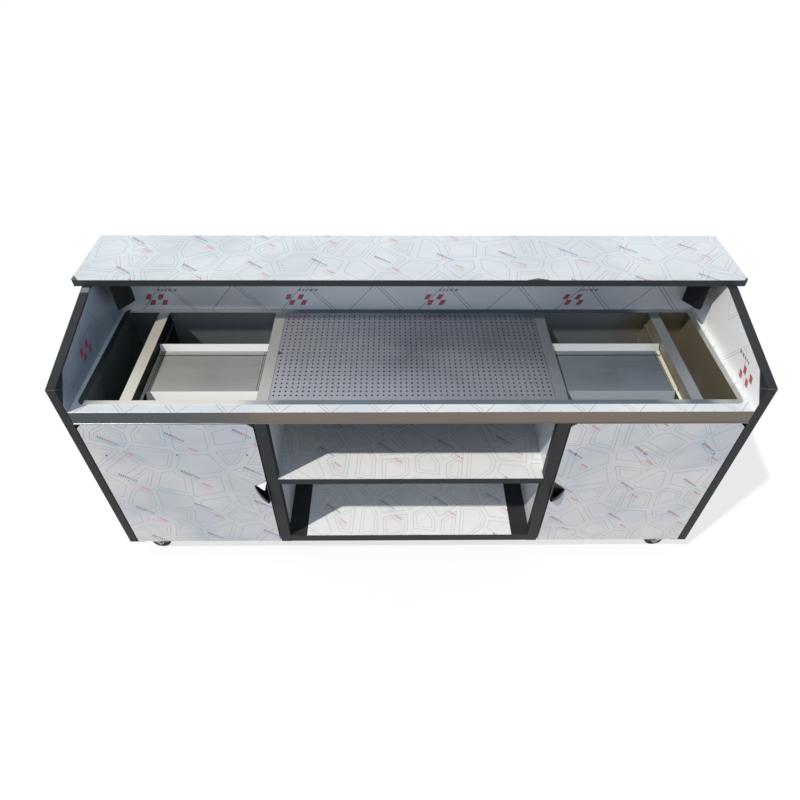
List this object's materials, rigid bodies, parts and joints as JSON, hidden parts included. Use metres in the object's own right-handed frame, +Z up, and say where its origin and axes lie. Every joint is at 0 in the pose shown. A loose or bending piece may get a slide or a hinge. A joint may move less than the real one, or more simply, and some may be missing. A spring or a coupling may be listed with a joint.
{
  "type": "portable cocktail station",
  "caption": "Wheeled bar counter with a raised serving top, a working deck with ice bins, bottle wells and a drainboard, closed cupboards and an open bay.",
  "frame": {"origin": "on the floor in the middle of the whole outline, under the wheels' lowest points", "axes": "+X runs along the station to the bartender's right as the bartender faces it, +Y points from the bartender to the customers, +Z up"},
  "size_m": [2.256, 0.72, 1.054],
  "materials": {
    "frame_paint": "satin charcoal powder coat",
    "clad_steel": "stainless sheet under printed pale film",
    "door_steel": "stainless sheet under printed pale film",
    "deck_steel": "satin stainless",
    "well_steel": "satin stainless",
    "lid_steel": "satin stainless",
    "bar_core": "charcoal edged board",
    "pull_plastic": "gloss black",
    "hardware": "zinc plated",
    "catch_plastic": "matt",
    "wheel_rubber": "black tyre on a grey hub"
  },
  "bodies": {
    "station": {"front_legs": "frame_paint", "slant_tubes": "frame_paint", "top_tubes": "frame_paint", "rear_legs": "frame_paint", "bottom_tubes": "frame_paint", "deck_side_tubes": "frame_paint", "front_sill_rail": "frame_paint", "rear_sill_rail": "frame_paint", "rear_top_rail": "frame_paint", "front_deck_rail": "frame_paint", "rear_deck_rail": "frame_paint", "bay_post_left": "frame_paint", "bay_post_right": "frame_paint", "bay_bottom_rail": "frame_paint", "bay_shelf_rail": "frame_paint", "bay_bearers": "frame_paint", "bay_rear_posts": "frame_paint", "bar_brackets": "frame_paint", "bar_top_skin": "clad_steel", "backsplash": "clad_steel", "side_lining_left": "clad_steel", "side_lining_right": "clad_steel", "customer_panel": "clad_steel", "side_claddings": "clad_steel", "bay_walls": "clad_steel", "bay_floor": "clad_steel", "bay_shelf": "clad_steel", "cupboard_floors": "clad_steel", "deck_panel": "clad_steel", "bar_top_board": "bar_core", "well_rim": "deck_steel", "divider_bars": "deck_steel", "drain_pan": "deck_steel", "bottle_well_left": "well_steel", "bottle_well_right": "well_steel", "ice_bin_left": "well_steel", "ice_bin_right": "well_steel", "lid_ledges": "well_steel", "door_pivots": "hardware", "drain_cocks": "hardware", "castor_plates": "hardware", "door_catches": "catch_plastic"},
    "door_left": {"door_left": "door_steel", "door_pull_left": "pull_plastic"},
    "ice_lid_left": {"ice_lid_left": "lid_steel"},
    "drain_lever_left": {"drain_lever_left": "hardware"},
    "door_right": {"door_right": "door_steel", "door_pull_right": "pull_plastic"},
    "ice_lid_right": {"ice_lid_right": "lid_steel"},
    "drain_lever_right": {"drain_lever_right": "hardware"},
    "drainboard": {"drainboard": "deck_steel"},
    "castor_front_left": {"castor_fork_front_left": "hardware"},
    "wheel_front_left": {"castor_wheel_front_left": "wheel_rubber"},
    "castor_front_right": {"castor_fork_front_right": "hardware"},
    "wheel_front_right": {"castor_wheel_front_right": "wheel_rubber"},
    "castor_rear_left": {"castor_fork_rear_left": "hardware"},
    "wheel_rear_left": {"castor_wheel_rear_left": "wheel_rubber"},
    "castor_rear_right": {"castor_fork_rear_right": "hardware"},
    "wheel_rear_right": {"castor_wheel_rear_right": "wheel_rubber"}
  },
  "joints": [
    {"name": "door_left_hinge", "type": "hinge", "parent": "station", "child": "door_left", "pos_m": [-1.051, -0.32, 0.4455], "axis": [0, 0, 1], "range_deg": [-100, 0]},
    {"name": "door_right_hinge", "type": "hinge", "parent": "station", "child": "door_right", "pos_m": [1.051, -0.32, 0.4455], "axis": [0, 0, 1], "range_deg": [0, 100]},
    {"name": "ice_lid_left_slide", "type": "slide", "parent": "station", "child": "ice_lid_left", "axis": [0, 1, 0], "range_m": [-0.065, 0.155]},
    {"name": "ice_lid_right_slide", "type": "slide", "parent": "station", "child": "ice_lid_right", "axis": [0, 1, 0], "range_m": [-0.065, 0.155]},
    {"name": "drainboard_lift", "type": "slide", "parent": "station", "child": "drainboard", "axis": [0, 0, 1], "range_m": [0, 0.12]},
    {"name": "drain_lever_left_turn", "type": "hinge", "parent": "station", "child": "drain_lever_left", "pos_m": [-0.6915, 0.03, 0.4815], "axis": [0, 1, 0], "range_deg": [0, 90]},
    {"name": "drain_lever_right_turn", "type": "hinge", "parent": "station", "child": "drain_lever_right", "pos_m": [0.6915, 0.03, 0.4815], "axis": [0, 1, 0], "range_deg": [-90, 0]},
    {"name": "castor_front_left_swivel", "type": "hinge", "parent": "station", "child": "castor_front_left", "pos_m": [-1.04, -0.274, 0.09], "axis": [0, 0, 1], "continuous": true},
    {"name": "wheel_front_left_roll", "type": "hinge", "parent": "castor_front_left", "child": "wheel_front_left", "pos_m": [-1.008, -0.274, 0.0375], "axis": [0, 1, 0], "continuous": true},
    {"name": "castor_front_right_swivel", "type": "hinge", "parent": "station", "child": "castor_front_right", "pos_m": [1.04, -0.274, 0.09], "axis": [0, 0, 1], "continuous": true},
    {"name": "wheel_front_right_roll", "type": "hinge", "parent": "castor_front_right", "child": "wheel_front_right", "pos_m": [1.008, -0.274, 0.0375], "axis": [0, 1, 0], "continuous": true},
    {"name": "castor_rear_left_swivel", "type": "hinge", "parent": "station", "child": "castor_rear_left", "pos_m": [-1.04, 0.274, 0.09], "axis": [0, 0, 1], "continuous": true},
    {"name": "wheel_rear_left_roll", "type": "hinge", "parent": "castor_rear_left", "child": "wheel_rear_left", "pos_m": [-1.008, 0.274, 0.0375], "axis": [0, 1, 0], "continuous": true},
    {"name": "castor_rear_right_swivel", "type": "hinge", "parent": "station", "child": "castor_rear_right", "pos_m": [1.04, 0.274, 0.09], "axis": [0, 0, 1], "continuous": true},
    {"name": "wheel_rear_right_roll", "type": "hinge", "parent": "castor_rear_right", "child": "wheel_rear_right", "pos_m": [1.008, 0.274, 0.0375], "axis": [0, 1, 0], "continuous": true}
  ]
}
